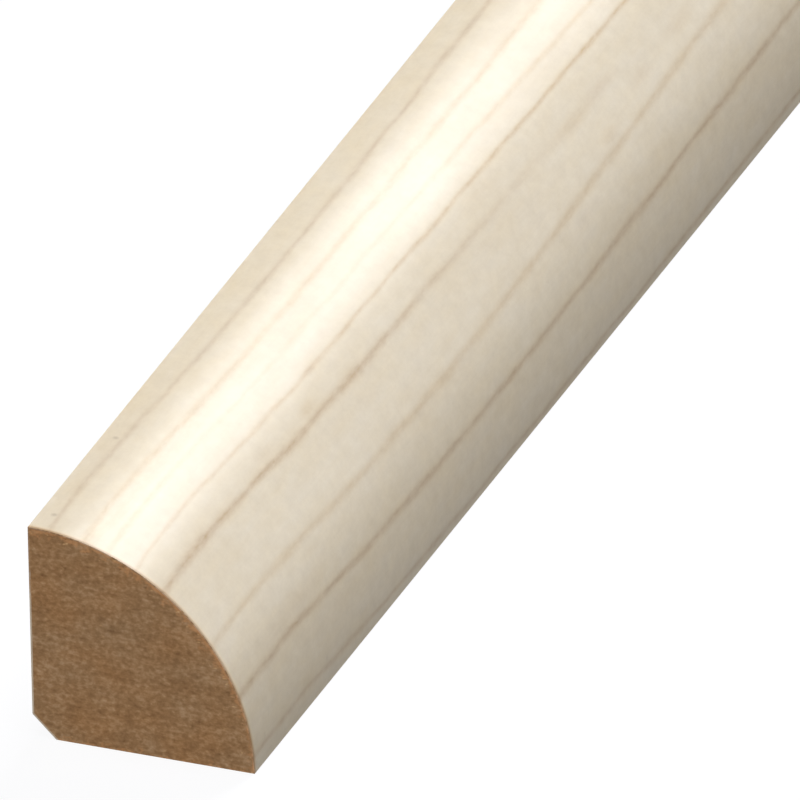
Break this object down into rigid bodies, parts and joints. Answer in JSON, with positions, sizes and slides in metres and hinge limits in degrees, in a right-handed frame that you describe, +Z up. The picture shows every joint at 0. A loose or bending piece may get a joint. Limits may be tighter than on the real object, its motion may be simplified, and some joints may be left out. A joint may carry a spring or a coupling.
{
  "type": "quarter round moulding",
  "caption": "Quarter round floor moulding: fibreboard core with a square section, round face and chamfered hidden corner, wrapped in pale wood-print decor foil.",
  "frame": {"origin": "on the floor under the middle of the stick, half a leg out from the wall, which is the middle of the bottom of its box", "axes": "+X out from the wall towards the room, +Y along the stick, +Z up the wall"},
  "size_m": [0.019, 2.4, 0.019],
  "materials": {
    "fibreboard": "matt sawn fibreboard",
    "maple_foil": "satin lacquered wood print"
  },
  "bodies": {
    "root": {"fibreboard_core": "fibreboard", "decor_foil": "maple_foil"}
  },
  "joints": []
}
